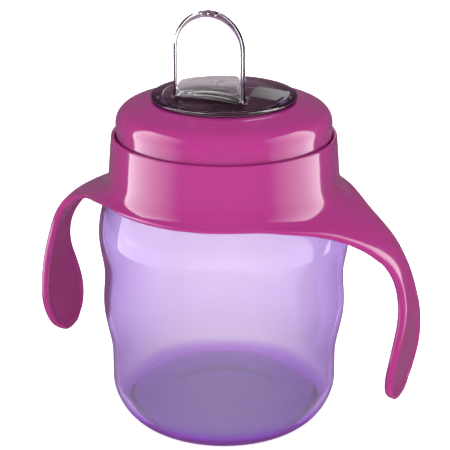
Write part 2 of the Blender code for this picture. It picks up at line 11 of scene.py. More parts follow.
import bmesh
import bpy
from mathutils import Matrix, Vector


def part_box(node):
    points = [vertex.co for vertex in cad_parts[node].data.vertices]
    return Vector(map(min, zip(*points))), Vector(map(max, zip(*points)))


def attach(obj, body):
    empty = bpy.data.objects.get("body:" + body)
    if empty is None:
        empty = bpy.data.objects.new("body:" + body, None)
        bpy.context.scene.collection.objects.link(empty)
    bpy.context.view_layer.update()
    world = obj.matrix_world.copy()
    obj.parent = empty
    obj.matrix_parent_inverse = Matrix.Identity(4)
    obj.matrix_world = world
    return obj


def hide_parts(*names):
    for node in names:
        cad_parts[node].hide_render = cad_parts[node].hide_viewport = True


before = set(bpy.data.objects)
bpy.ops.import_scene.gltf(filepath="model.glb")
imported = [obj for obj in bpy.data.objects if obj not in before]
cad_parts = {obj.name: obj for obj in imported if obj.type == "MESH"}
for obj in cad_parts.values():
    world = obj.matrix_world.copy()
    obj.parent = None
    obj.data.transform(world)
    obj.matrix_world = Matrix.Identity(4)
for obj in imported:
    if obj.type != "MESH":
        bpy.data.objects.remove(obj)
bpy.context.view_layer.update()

# %% [markdown]
# Every piece of this cup is round or made from flat outlines, so a few helpers do most of the work. The first
# one clears the selection, because Blender's operators act on all that is selected. The second adds a
# modifier, sets it up and applies it, as you would with Ctrl+A in the viewport.

# %% Helpers for selecting and modifiers
def deselect_all():
    if bpy.context.mode != "OBJECT":
        bpy.ops.object.mode_set(mode="OBJECT")
    bpy.ops.object.select_all(action="DESELECT")


def make_active(piece):
    deselect_all()
    piece.select_set(True)
    bpy.context.view_layer.objects.active = piece


def apply_modifier(piece, kind, **settings):
    make_active(piece)
    modifier = piece.modifiers.new(kind.title(), kind)
    for name, value in settings.items():
        setattr(modifier, name, value)
    bpy.ops.object.modifier_apply(modifier=modifier.name)


def report(piece):
    size = ", ".join(f"{side * 1000:.1f}" for side in piece.dimensions)
    print(f"{piece.name}: {len(piece.data.polygons)} faces, {size} mm")


# %% [markdown]
# A lathe shape, such as the cup, is drawn as half of its cross-section and spun round the middle line. We
# could use the Screw modifier, but the Spin operator in edit mode is what you would do by hand: add a circle,
# drag its points to the outline, then spin it. Points on the middle line land on each other, so doubles are
# merged afterwards, and the faces are turned to point outwards.

# %% The lathe
def turned(name, outline, steps=128):
    """Spins a closed outline of (radius, height) points round Z."""
    deselect_all()
    bpy.ops.mesh.primitive_circle_add(vertices=len(outline), radius=0.01, fill_type="NOTHING")
    piece = bpy.context.object
    piece.name = piece.data.name = name
    for vert, (radius, height) in zip(piece.data.vertices, outline):
        vert.co = (radius, 0, height)
    bpy.ops.object.mode_set(mode="EDIT")
    bpy.ops.mesh.select_all(action="SELECT")
    bpy.ops.mesh.spin(steps=steps, angle=2 * math.pi, center=(0, 0, 0), axis=(0, 0, 1))
    tidy_mesh()
    return piece


def tidy_mesh():
    """In edit mode: merges doubles, drops stray edges and turns all faces outwards, then leaves edit mode."""
    bpy.ops.mesh.select_all(action="SELECT")
    bpy.ops.mesh.remove_doubles(threshold=0.000004)
    bpy.ops.mesh.dissolve_degenerate(threshold=0.000001)
    bpy.ops.mesh.select_all(action="SELECT")
    bpy.ops.mesh.delete_loose(use_verts=True, use_edges=True, use_faces=False)
    bpy.ops.mesh.select_all(action="SELECT")
    bpy.ops.mesh.normals_make_consistent(inside=False)
    bpy.ops.object.mode_set(mode="OBJECT")


def arc(centre_radius, centre_height, radius, start, end, count):
    """Points of a circular arc in the outline's plane. Angles are in degrees from the outward direction."""
    angles = [math.radians(start + (end - start) * i / (count - 1)) for i in range(count)]
    return [(centre_radius + radius * math.cos(a), centre_height + radius * math.sin(a)) for a in angles]


def rounded(corners, radius, count=5):
    """An outline with each of its corners cut back by radius and rounded."""
    points = []
    total = len(corners)
    for i, corner in enumerate(corners):
        here = Vector(corner)
        before = Vector(corners[i - 1]) - here
        after = Vector(corners[(i + 1) % total]) - here
        cut = min(radius, before.length * 0.45, after.length * 0.45)
        if here.x < 0.00001 or cut < 0.00001:
            points.append((here.x, here.y))
            continue
        first = here + before.normalized() * cut
        last = here + after.normalized() * cut
        for step in range(count):
            t = step / (count - 1)
            point = first * (1 - t) ** 2 + here * 2 * t * (1 - t) + last * t**2
            points.append((point.x, point.y))
    return points


def smooth_shaded(piece, degrees=40):
    make_active(piece)
    bpy.ops.object.shade_smooth_by_angle(angle=math.radians(degrees))


# %% [markdown]
# The sizes below are the mating sizes of the frame, in metres, so that the new pieces fit each other just as
# the engineering pieces do.

# %% Sizes shared by the pieces
LEDGE_Z = 0.0765
NECK_RADIUS = 0.0286
RIM_Z = 0.0951
CUP_WALL = 0.0016
FLANGE_BOTTOM = 0.0768
FLANGE_TOP = 0.0788
FLANGE_BORE = 0.03025
LIP_Z = 0.0906
LIP_RADIUS = 0.03355
COLLAR_RADIUS = 0.03445
COLLAR_WALL = 0.00125
SKIRT_RADIUS = 0.03785
SKIRT_BOTTOM = 0.0731
RING_BORE = 0.03035
RING_RADIUS = 0.03215
THREAD_PITCH = 0.0050
THREAD_START = LEDGE_Z + 0.0080
FINE_STEPS = 160

cup_low, cup_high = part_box("cup_body")
print("the frame's cup goes from", round(cup_low.z, 5), "to", round(cup_high.z, 5), "and here to", RIM_Z)

# %% [markdown]
# ## The cup
#
# The real cup is one moulding in a see-through violet plastic. Its wall has a soft waist that a small hand
# can hold, and its foot is rounded like a pebble. The outline is made of curves that leave and arrive with no
# slope, so that the reflections run over the wall without a kink. The wall is 1.6 mm thick, and it is
# modelled with an inside and an outside, because a see-through shell only bends light in the right way when
# it has both.

# %% The cup's sizes
FOOT_RADIUS = 0.0265
CORNER_HEIGHT = 0.0115
BELLY_HEIGHT = 0.0600
# Heights at which the wall stands upright, each with its radius
WALL_STATIONS = (
    (CORNER_HEIGHT, 0.0347),
    (0.0200, 0.0347),
    (0.0375, 0.0371),
    (0.0465, 0.0366),
    (BELLY_HEIGHT, 0.0381),
)
LEDGE_RADIUS = 0.0318
BASE_TOP = 0.0040
NECK_MIDDLE = 0.0860
# Radii and heights of the shallow recess under the foot
RECESS_DEPTH = 0.0003
FOOT_RECESS = [
    (0.0232, 0.0),
    (0.0222, 0.00006),
    (0.0210, 0.0002),
    (0.0195, RECESS_DEPTH),
    (0.0110, RECESS_DEPTH),
    (0, RECESS_DEPTH),
]
SLOPE_STEP = 0.00005
LEDGE_SLOPE = -20.0
print("the cup's widest radius is", max(radius for _, radius in WALL_STATIONS), "m")


# %% The wall's curve
def superellipse(inner, outer, share, power=1.6):
    return inner + (outer - inner) * max(0.0, 1 - share**power) ** (1 / power)


def wall_radius(height):
    """The cup's outer radius at a height, from the foot to the ledge under the neck."""
    if height <= CORNER_HEIGHT:
        return superellipse(FOOT_RADIUS, WALL_STATIONS[0][1], 1 - height / CORNER_HEIGHT)
    for (low_z, low_r), (high_z, high_r) in zip(WALL_STATIONS, WALL_STATIONS[1:]):
        if height <= high_z:
            share = (height - low_z) / (high_z - low_z)
            return low_r + (high_r - low_r) * (1 - math.cos(math.pi * share)) / 2
    top_z, top_r = WALL_STATIONS[-1]
    return superellipse(LEDGE_RADIUS, top_r, (height - top_z) / (LEDGE_Z - top_z))


def wall_heights():
    """Heights for the outline's points, close together where the wall bends most."""
    low = [CORNER_HEIGHT * (i / 14) ** 1.7 for i in range(15)]
    middle = [CORNER_HEIGHT + (BELLY_HEIGHT - CORNER_HEIGHT) * i / 48 for i in range(1, 49)]
    high = [LEDGE_Z - (LEDGE_Z - BELLY_HEIGHT) * (1 - i / 18) ** 1.7 for i in range(1, 19)]
    return low + middle + high


def wall_slope(height):
    """How fast the radius grows with the height. Close under the ledge the wall counts as nearly flat."""
    if height >= LEDGE_Z - 0.0001:
        return LEDGE_SLOPE
    return (wall_radius(height + SLOPE_STEP) - wall_radius(height)) / SLOPE_STEP


# %% [markdown]
# The inside of the wall is the outside moved inwards by the wall's thickness, square to the wall. Where that
# would run into the base or the neck, its points are left out, and the floor and the neck's bore take over.

# %% Turn the cup
def wall_inside():
    inside = []
    for height in wall_heights():
        slope = wall_slope(height)
        lean = math.sqrt(1 + slope**2)
        inside.append((wall_radius(height) - CUP_WALL / lean, height + CUP_WALL * slope / lean))
    inside = [point for point in inside if BASE_TOP + 0.0006 < point[1] < LEDGE_Z - CUP_WALL]
    return [point for point in inside if point[0] > NECK_RADIUS - CUP_WALL + 0.0004]


def cup_outline():
    inside = wall_inside()
    corner = inside[0][0]
    floor = [(0, BASE_TOP), (0.015, BASE_TOP), (corner - 0.002, BASE_TOP)]
    floor.append((corner - 0.0006, BASE_TOP + 0.0001))
    bore = NECK_RADIUS - CUP_WALL
    neck_inside = [
        (bore + 0.0002, LEDGE_Z - CUP_WALL + 0.0002),
        (bore, LEDGE_Z - 0.0006),
        (bore, NECK_MIDDLE),
    ]
    rim = arc(NECK_RADIUS - CUP_WALL / 2, RIM_Z - CUP_WALL / 2, CUP_WALL / 2, 180, 0, 11)
    neck_outside = [
        (NECK_RADIUS, NECK_MIDDLE),
        (NECK_RADIUS, LEDGE_Z + 0.0005),
        (NECK_RADIUS + 0.0005, LEDGE_Z),
    ]
    outside = [(wall_radius(z), z) for z in wall_heights()]
    return floor + inside + neck_inside + rim + neck_outside + outside[::-1] + FOOT_RECESS


cup = turned("cup", cup_outline(), steps=FINE_STEPS)
report(cup)

# %% [markdown]
# The screw thread on the neck is a ridge with a tapered section that climbs as it goes round. The Screw
# modifier does exactly that with a small closed outline. Its two ends are open, so they are filled. The
# ridge sinks a little into the neck, and a Boolean joins the two into one skin.

# %% The thread ridges
RIDGE_SINK = 0.0005
RIDGE_DEPTH = 0.0013
RIDGE_CHAMFER = 0.0003
ROOT_HALF = 0.0012
TIP_HALF = 0.00035
RIDGE_STEPS = 112


def ridge_section(root_radius, side):
    """The tooth's section, with its tip on the given side of the root: 1 for outwards, -1 for inwards."""
    tip = root_radius + side * RIDGE_DEPTH
    upper = [
        (tip, TIP_HALF),
        (tip - side * RIDGE_CHAMFER, TIP_HALF + RIDGE_CHAMFER),
        (root_radius, ROOT_HALF),
        (root_radius - side * RIDGE_SINK, ROOT_HALF),
    ]
    return [(radius, -height) for radius, height in upper[::-1]] + upper


def thread_ridge(name, root_radius, outwards, start_height, turns):
    """A closed ridge that climbs by the thread's pitch in each turn."""
    section = ridge_section(root_radius, 1 if outwards else -1)
    deselect_all()
    bpy.ops.mesh.primitive_circle_add(vertices=len(section), radius=0.01, fill_type="NOTHING")
    ridge = bpy.context.object
    ridge.name = ridge.data.name = name
    for vert, (radius, height) in zip(ridge.data.vertices, section):
        vert.co = (radius, 0, start_height + height)
    steps = round(RIDGE_STEPS * turns)
    apply_modifier(
        ridge,
        "SCREW",
        angle=2 * math.pi * turns,
        screw_offset=THREAD_PITCH * turns,
        steps=steps,
        render_steps=steps,
        use_merge_vertices=False,
    )
    bpy.ops.object.mode_set(mode="EDIT")
    bpy.ops.mesh.select_all(action="DESELECT")
    bpy.ops.mesh.select_non_manifold(extend=False, use_boundary=True)
    bpy.ops.mesh.fill_holes(sides=12)
    tidy_mesh()
    return ridge


def join_solids(piece, other, operation="UNION"):
    """Joins or cuts one closed solid with another, then removes the other."""
    apply_modifier(piece, "BOOLEAN", operation=operation, solver="EXACT", object=other)
    bpy.data.objects.remove(other)


join_solids(cup, thread_ridge("neck_ridge", NECK_RADIUS, True, THREAD_START, 1.25))
smooth_shaded(cup)
report(cup)

# %% [markdown]
# ## The handle ring
#
# The collar, the skirt and both handles are one glossy moulding. The skirt's lower edge runs on as the edge
# of each handle, and the handles widen into paddles for small fingers. Such a shape is easiest as a net of
# four-sided faces that subdivision makes smooth. One quarter is enough: a grid becomes the collar and skirt,
# and then part of its lowest edge is extruded row by row into half of one handle. Mirrors make the rest.

# %% Sizes of the net
# Radii and heights of the collar and skirt, from the top down
COLLAR_ROWS = (
    (LIP_RADIUS, LIP_Z),
    (LIP_RADIUS + 0.0001, 0.0899),
    (COLLAR_RADIUS - 0.0004, 0.0856),
    (COLLAR_RADIUS, 0.0807),
    (COLLAR_RADIUS + 0.00027, 0.0771),
    (COLLAR_RADIUS + 0.00129, 0.0745),
    (SKIRT_RADIUS, SKIRT_BOTTOM),
)
# The net's columns round the collar, in degrees from the handle. The first ones carry the handle.
COLUMN_ANGLES = (0, 12, 24, 36, 48, 62, 76, 90)
ROOT_COLUMNS = 5
ROOT_DIP = 0.0007
# Subdivision pulls a round net inwards by this share
ROUND_SHRINK = 0.994
HANDLE_INSET = 0.00012
# From the skirt to the tip, how far the row's middle stands out from the skirt's edge and above it, the same
# for its side edge, and its half width
HANDLE_ROWS = (
    (0.0029, -0.0020, -0.0063, -0.0008, 0.0242),
    (0.0059, -0.0031, -0.0008, -0.0022, 0.0186),
    (0.0091, -0.0046, 0.0040, -0.0041, 0.0142),
    (0.0121, -0.0064, 0.0087, -0.0061, 0.0111),
    (0.0151, -0.0088, 0.0131, -0.0086, 0.0087),
    (0.0180, -0.0119, 0.0168, -0.0120, 0.0069),
    (0.0203, -0.0156, 0.0197, -0.0158, 0.0057),
    (0.0219, -0.0197, 0.0216, -0.0198, 0.0053),
    (0.0229, -0.0240, 0.0227, -0.0240, 0.0057),
    (0.0236, -0.0280, 0.0234, -0.0280, 0.0067),
    (0.0237, -0.0320, 0.0236, -0.0320, 0.0081),
    (0.0234, -0.0360, 0.0233, -0.0360, 0.0096),
    (0.0230, -0.0400, 0.0229, -0.0400, 0.0109),
    (0.0225, -0.0440, 0.0224, -0.0440, 0.0116),
    (0.0218, -0.0480, 0.0217, -0.0480, 0.0112),
    (0.0212, -0.0519, 0.0212, -0.0517, 0.0096),
    (0.0209, -0.0548, 0.0209, -0.0540, 0.0078),
    (0.0207, -0.0568, 0.0207, -0.0558, 0.0054),
    (0.0206, -0.0579, 0.0206, -0.0574, 0.0026),
)
print("the handle has", len(HANDLE_ROWS), "rows of", ROOT_COLUMNS, "points in one quarter")

# %% One quarter of the net
deselect_all()
bpy.ops.mesh.primitive_grid_add(
    x_subdivisions=len(COLUMN_ANGLES) - 1, y_subdivisions=len(COLLAR_ROWS) - 1, size=0.05
)
handles = bpy.context.object
handles.name = handles.data.name = "handle_ring_skin"
for index, vert in enumerate(handles.data.vertices):
    row, column = divmod(index, len(COLUMN_ANGLES))
    radius, height = COLLAR_ROWS[row]
    if row == len(COLLAR_ROWS) - 1:
        height -= ROOT_DIP * max(0.0, 1 - (column / (ROOT_COLUMNS - 1)) ** 2)
    angle = math.radians(COLUMN_ANGLES[column])
    vert.co = (radius / ROUND_SHRINK * math.cos(angle), radius / ROUND_SHRINK * math.sin(angle), height)
print("quarter net has", len(handles.data.vertices), "points")

# %% [markdown]
# Now the lowest edge under the handle's root is selected by its place and extruded once for each row. The new
# points lie on the old ones, in the same order across the handle, so they are sorted by their distance from
# the middle and moved to the row's own middle, edges and width.

# %% Extrude the handle row by row
root_edge_y = SKIRT_RADIUS / ROUND_SHRINK * math.sin(math.radians(COLUMN_ANGLES[ROOT_COLUMNS - 1]))
bpy.ops.object.mode_set(mode="EDIT")
bpy.ops.mesh.select_mode(type="VERT")
bpy.ops.mesh.select_all(action="DESELECT")
net = bmesh.from_edit_mesh(handles.data)
for vert in net.verts:
    vert.select = vert.co.z < SKIRT_BOTTOM + 0.0001 and vert.co.y < root_edge_y + 0.0001
print("root points selected:", sum(vert.select for vert in net.verts))
net.select_flush_mode()
bpy.ops.mesh.select_mode(type="EDGE")
for middle_out, middle_up, edge_out, edge_up, half_width in HANDLE_ROWS:
    bpy.ops.mesh.extrude_edges_move()
    net = bmesh.from_edit_mesh(handles.data)
    across = sorted((vert for vert in net.verts if vert.select), key=lambda vert: vert.co.y)
    for place, vert in enumerate(across):
        share = place / (ROOT_COLUMNS - 1)
        out = middle_out + (edge_out - middle_out) * share**2
        up = middle_up + (edge_up - middle_up) * share**2
        vert.co = (SKIRT_RADIUS + out - HANDLE_INSET, half_width * share, SKIRT_BOTTOM + up)
    bmesh.update_edit_mesh(handles.data)
bpy.ops.mesh.select_all(action="SELECT")
bpy.ops.mesh.normals_make_consistent(inside=False)
bpy.ops.object.mode_set(mode="OBJECT")
report(handles)

# %% [markdown]
# The mirrors complete the net. Solidify then gives it a wall: 1.25 mm in the collar, where the screw ring has
# to fit inside, 1.5 mm in the skirt, and in the handles a wall that grows from row to row up to 2.8 mm. A
# vertex group carries those shares.

# %% Mirror the net
HANDLE_THICKNESS = 0.0028
SKIRT_WALL = 0.0015
THIN_ROWS = 4
FIRST_SHARE = 0.55
SHARE_STEP = 0.07
thick = handles.vertex_groups.new(name="thick")
for vert in handles.data.vertices:
    if vert.index < len(COLUMN_ANGLES) * THIN_ROWS:
        share = COLLAR_WALL / HANDLE_THICKNESS
    elif vert.index < len(COLUMN_ANGLES) * len(COLLAR_ROWS):
        share = SKIRT_WALL / HANDLE_THICKNESS
    else:
        row = (vert.index - len(COLUMN_ANGLES) * len(COLLAR_ROWS)) // ROOT_COLUMNS
        share = min(1.0, FIRST_SHARE + SHARE_STEP * row)
    thick.add([vert.index], share, "REPLACE")
apply_modifier(handles, "MIRROR", use_axis=(True, True, False), merge_threshold=0.00001)
outwards = sum(face.normal.dot(face.center) > 0 for face in handles.data.polygons)
print("faces that point outwards:", outwards, "of", len(handles.data.polygons))

# %% Turn the faces outwards and thicken
if outwards < len(handles.data.polygons) / 2:
    make_active(handles)
    bpy.ops.object.mode_set(mode="EDIT")
    bpy.ops.mesh.select_all(action="SELECT")
    bpy.ops.mesh.flip_normals()
    bpy.ops.object.mode_set(mode="OBJECT")
apply_modifier(
    handles,
    "SOLIDIFY",
    thickness=HANDLE_THICKNESS,
    offset=-1,
    vertex_group="thick",
    thickness_vertex_group=0.0,
)
report(handles)

# %% [markdown]
# The sharp edges get a small bevel before subdivision rounds the rest. It keeps them crisp but not
# knife-sharp, and it catches the thin light line that runs along every real edge. The paddles, which small
# hands hold, are rounded more than the skirt.

# %% Bevelled edges and smoothing
PADDLE_BEVEL = 0.00080
SKIRT_BEVEL = 0.00030
SHARP_ANGLE = 55


def on_paddle(place):
    return abs(place.x) > 0.052 and place.z < 0.062


make_active(handles)
bpy.ops.object.mode_set(mode="EDIT")
bpy.ops.mesh.select_mode(type="EDGE")
for wanted, radius in ((True, PADDLE_BEVEL), (False, SKIRT_BEVEL)):
    bpy.ops.mesh.select_all(action="DESELECT")
    bpy.ops.mesh.edges_select_sharp(sharpness=math.radians(SHARP_ANGLE))
    net = bmesh.from_edit_mesh(handles.data)
    for edge in net.edges:
        middle = (edge.verts[0].co + edge.verts[1].co) / 2
        if on_paddle(middle) != wanted:
            edge.select = False
    bmesh.update_edit_mesh(handles.data)
    bpy.ops.mesh.bevel(offset=radius, offset_type="OFFSET", segments=1, affect="EDGES")
bpy.ops.mesh.select_all(action="DESELECT")
bpy.ops.object.mode_set(mode="OBJECT")
apply_modifier(handles, "SUBSURF", levels=3, render_levels=3)
report(handles)

# %% [markdown]
# Each paddle has a shallow dish for the thumb on its outer face and a deeper one for the fingers inside. Both
# follow the paddle's outline and leave a narrow rim. An inset would do for a flat panel, but here the faces
# are curved, so the fine points are moved instead: each by a depth that grows smoothly with its distance from
# the rim.

# %% The paddles' dishes
RIM_WIDTH = 0.0014
DISH_SLOPE = 0.0011
DISH_TOP = 0.0440
DISH_TIP = 0.0185
TOP_SLOPE = 0.006
TIP_SLOPE = 0.002
# How strongly the dish's upper edge arches
TOP_ARCH = 30
THUMB_DEPTH = 0.0006
FINGER_DEPTH = 0.0009


def half_width_at(height):
    """The handle's half width at a height, read between the rows."""
    rows = [(SKIRT_BOTTOM + row[1], row[4]) for row in HANDLE_ROWS]
    for (high_z, high_w), (low_z, low_w) in zip(rows, rows[1:]):
        if low_z <= height <= high_z:
            return low_w + (high_w - low_w) * (height - low_z) / (high_z - low_z)
    return 0.0


def smooth_step(value):
    value = max(0.0, min(1.0, value))
    return value * value * (3 - 2 * value)


def dish_share(place):
    """How far into the dish a point is: 0 on the rim and 1 on its bottom."""
    inside_width = half_width_at(place.z) - RIM_WIDTH - abs(place.y)
    inside_top = DISH_TOP - place.z - TOP_ARCH * place.y**2
    inside_tip = place.z - DISH_TIP
    along = smooth_step(inside_top / TOP_SLOPE) * smooth_step(inside_tip / TIP_SLOPE)
    return smooth_step(inside_width / DISH_SLOPE) * along


# %% [markdown]
# All moves are worked out before the first point moves, because moving a point turns its neighbours' normals.

# %% Press the dishes in
moves = []
for vert in handles.data.vertices:
    outwards = vert.normal.x * vert.co.x
    if abs(vert.co.x) > 0.050 and abs(vert.normal.x) > 0.35:
        depth = THUMB_DEPTH if outwards > 0 else FINGER_DEPTH
        moves.append((vert, vert.normal * depth * dish_share(vert.co)))
for vert, inwards in moves:
    vert.co -= inwards
print("points in the dishes:", sum(move.length > 0.00001 for _, move in moves))
smooth_shaded(handles, 60)
report(handles)

# %% [markdown]
# Inside the collar a flat flange rests on the cup's ledge. It is a plain turned ring, sunk into the collar's
# wall and joined to the same object.

# %% The flange inside the collar
FLANGE_RIM = 0.0340
EDGE_ROUNDING = 0.0003


def add_to(piece, other):
    """Makes two meshes one object."""
    deselect_all()
    other.select_set(True)
    piece.select_set(True)
    bpy.context.view_layer.objects.active = piece
    bpy.ops.object.join()


flange = turned(
    "flange",
    rounded(
        [
            (FLANGE_BORE, FLANGE_BOTTOM),
            (FLANGE_RIM, FLANGE_BOTTOM),
            (FLANGE_RIM, FLANGE_TOP),
            (FLANGE_BORE, FLANGE_TOP),
        ],
        EDGE_ROUNDING,
    ),
)
smooth_shaded(flange)
add_to(handles, flange)
report(handles)

# %% [markdown]
# ## The screw ring
#
# A domed ring that screws down over the neck and clamps the soft spout. It is turned from one outline: a
# sloping crown, a generous rounded shoulder, a straight wall that drops into the collar, and inside a step
# that presses on the spout's flange. Its thread ridge sits between the turns of the neck's.

# %% The screw ring
CLAMP_Z = 0.0972
SHOULDER = 0.0050
SHOULDER_RADIUS = 0.02715
CROWN_SLOPE = math.radians(15.6)
CROWN_FOOT_Z = 0.0989
CROWN_WALL = 0.0017
HOLE_RADIUS = 0.0202
RING_FOOT = 0.0791
RING_MIDDLE = 0.0850
RING_THREAD_DROP = 0.00215
CROWN_FOOT_RADIUS = SHOULDER_RADIUS + SHOULDER * math.sin(CROWN_SLOPE)


def crown_z(radius):
    return CROWN_FOOT_Z + (CROWN_FOOT_RADIUS - radius) * math.tan(CROWN_SLOPE)


def ring_outline():
    shoulder_z = CROWN_FOOT_Z - SHOULDER * math.cos(CROWN_SLOPE)
    shoulder = arc(SHOULDER_RADIUS, shoulder_z, SHOULDER, 90 - math.degrees(CROWN_SLOPE), 0, 22)
    hole_z = crown_z(HOLE_RADIUS)
    hole_top = [(HOLE_RADIUS, hole_z - 0.0005), (HOLE_RADIUS + 0.0002, hole_z - 0.0001)]
    slope = [(radius, crown_z(radius)) for radius in (0.0207, 0.0220, 0.0240, 0.0260, 0.0275)]
    corners = [(RING_RADIUS, RING_MIDDLE), (RING_RADIUS, RING_FOOT), (RING_BORE, RING_FOOT)]
    foot = rounded(corners + [(RING_BORE, RING_MIDDLE)], EDGE_ROUNDING)
    inside = [(RING_BORE, CLAMP_Z - 0.0003), (RING_BORE - 0.0003, CLAMP_Z), (0.02615, CLAMP_Z)]
    under = [(0.02445, crown_z(0.02445) - CROWN_WALL), (HOLE_RADIUS, hole_z - CROWN_WALL)]
    return hole_top + slope + shoulder + foot[1:-1] + inside + under


screw_ring = turned("screw_ring_skin", ring_outline(), steps=FINE_STEPS)
ring_ridge = thread_ridge("ring_ridge", RING_BORE, False, THREAD_START - RING_THREAD_DROP, 1.0)
join_solids(screw_ring, ring_ridge)
smooth_shaded(screw_ring)
report(screw_ring)

# %% [markdown]
# ## The soft spout
#
# The spout is one piece of clear silicone: a flange that seals on the neck's rim, a round body, a bead that
# snaps over the crown's hole, a domed disc and the flat arch that the child drinks from. No lathe can turn
# it, because the arch is a flattened oval that stands forward of the middle. So it is lofted: a grid is
# rolled up, each row of it one closed section, from the top of the hollow inside, down the hollow, out along
# the disc's underside, round the flange, back up over the disc and up the arch to its tip. The rows near the
# arch's foot are spaced for a small fillet, because thick clear edges show every change of slope.

# %% Sections of the spout
AROUND = 120
FORWARD = 0.0098
ARCH_HALF_WIDTH = 0.0112
ARCH_HALF_DEPTH = 0.0035
ARCH_WALL = 0.0012
ARCH_TIP = 0.12895
DISC_Z = 0.102616
DISC_RADIUS = 0.0190
DOME_RISE = 0.0020


def circle_section(radius, height):
    angles = [2 * math.pi * i / AROUND for i in range(AROUND)]
    return [(radius * math.cos(a), radius * math.sin(a), height) for a in angles]


def oval_section(half_width, half_depth, height, power=2.5):
    points = []
    for i in range(AROUND):
        angle = 2 * math.pi * i / AROUND
        x = math.copysign(abs(math.cos(angle)) ** (2 / power), math.cos(angle))
        y = math.copysign(abs(math.sin(angle)) ** (2 / power), math.sin(angle))
        points.append((half_width * x, half_depth * y - FORWARD, height))
    return points


print("the arch is", round(2000 * ARCH_HALF_WIDTH, 1), "by", round(2000 * ARCH_HALF_DEPTH, 1), "mm")

# %% [markdown]
# The arch stands on the disc's shallow dome, so the rows near its foot follow the dome's height. Its upper
# end closes like a flattened quarter circle.

# %% The disc's dome and the arch
ARCH_STEPS = 12
TIP_STEPS = 25
DISC_STEPS = 11


def dome_height(x, y, lift=0.0):
    share = min(1.0, math.hypot(x, y) / DISC_RADIUS)
    return DISC_Z + lift + DOME_RISE * (1 - share**2)


def arch_rows(inset, foot_height):
    """The arch's sections from just above its foot to its tip, moved inwards by inset for the hollow."""
    half_width = ARCH_HALF_WIDTH - inset
    half_depth = ARCH_HALF_DEPTH - inset
    straight_top = ARCH_TIP - inset - half_width
    rows = []
    for i in range(ARCH_STEPS + 1):
        height = foot_height + (straight_top - foot_height) * (i / ARCH_STEPS)
        rows.append(oval_section(half_width, half_depth, height))
    for i in range(1, TIP_STEPS + 1):
        angle = math.pi / 2 * min(i / TIP_STEPS, 0.995)
        narrow = math.cos(angle)
        height = straight_top + half_width * math.sin(angle)
        rows.append(oval_section(half_width * narrow, half_depth * narrow**0.5, height))
    return rows


def disc_rows(outer_row, inner_row, lift):
    """Rows along the dome, between its rim and the arch's foot."""
    rows = []
    for i in range(1, DISC_STEPS):
        share = i / DISC_STEPS
        row = []
        for (ox, oy, _), (ix, iy, _) in zip(outer_row, inner_row):
            x, y = ox + (ix - ox) * share, oy + (iy - oy) * share
            row.append((x, y, dome_height(x, y, lift)))
        rows.append(row)
    return rows


def spread_foot(row, amount, height_lift):
    """An arch section grown outwards by amount and set on the dome, raised by height_lift."""
    grown = []
    for x, y, _ in row:
        dx, dy = x / ARCH_HALF_WIDTH**2, (y + FORWARD) / ARCH_HALF_DEPTH**2
        length = math.hypot(dx, dy) or 1.0
        gx, gy = x + dx / length * amount, y + dy / length * amount
        grown.append((gx, gy, dome_height(gx, gy, height_lift)))
    return grown


# %% [markdown]
# The rows are now strung together. A quarter circle of rows turns up from the dome into the arch, and the
# round part below the disc is an outline like those on the lathe.

# %% All rows of the spout
FILLET = 0.0013
DISC_THICKNESS = 0.0014
BODY_BORE = 0.01805
SPIGOT_RADIUS = 0.01985
BEAD_RADIUS = 0.0216


def fillet_rows(foot_row, lift, steps=6):
    """From the dome up into the arch, along a quarter circle."""
    rows = []
    for i in range(steps + 1):
        angle = math.pi / 2 * i / steps
        out = FILLET * (1 - math.sin(angle))
        up = FILLET * (1 - math.cos(angle))
        rows.append(spread_foot(foot_row, out, lift + up))
    return rows


def spout_body_outline():
    """The round part below the disc, from its bore round the flange to the bead."""
    corners = [
        (BODY_BORE, 0.1008),
        (BODY_BORE, 0.0969),
        (0.02105, 0.0969),
        (0.02105, 0.0954),
        (NECK_RADIUS, 0.0954),
        (NECK_RADIUS, 0.0969),
        (0.0258, 0.0969),
        (0.0241, 0.0981),
        (SPIGOT_RADIUS, 0.0993),
        (SPIGOT_RADIUS, 0.101516),
        (BEAD_RADIUS, 0.101516),
        (BEAD_RADIUS, 0.102116),
    ]
    return rounded([(0, 0.09)] + corners + [(0, 0.12)], 0.00025, 4)[1:-1]


def spout_rows():
    outer_foot = oval_section(ARCH_HALF_WIDTH, ARCH_HALF_DEPTH, 0)
    inner_foot = oval_section(ARCH_HALF_WIDTH - ARCH_WALL, ARCH_HALF_DEPTH - ARCH_WALL, 0)
    hollow = arch_rows(ARCH_WALL, DISC_Z + 0.0026)[::-1]
    inner_lip = [
        spread_foot(inner_foot, 0.0, 0.0004 - DISC_THICKNESS),
        spread_foot(inner_foot, 0.0005, -DISC_THICKNESS),
    ]
    under_rim = circle_section(0.01795, DISC_Z - DISC_THICKNESS)
    underside = disc_rows(under_rim, inner_lip[-1], -DISC_THICKNESS)[::-1]
    body = [circle_section(r, z) for r, z in spout_body_outline()]
    disc_rim = circle_section(DISC_RADIUS, DISC_Z)
    fillet = fillet_rows(outer_foot, 0.0)
    topside = disc_rows(disc_rim, fillet[0], 0.0)
    arch = arch_rows(0, DISC_Z + 0.0040)
    return hollow + inner_lip + underside + [under_rim] + body + [disc_rim] + topside + fillet + arch


# %% [markdown]
# Now a grid takes on the rows and closes round the arch. At both tips the last row is almost a point, and the
# small holes that stay there are filled. Afterwards three drinking holes are drilled through the tip.

# %% Loft the spout
HOLE_SPACING = 0.0022
DRINKING_HOLE = 0.00045

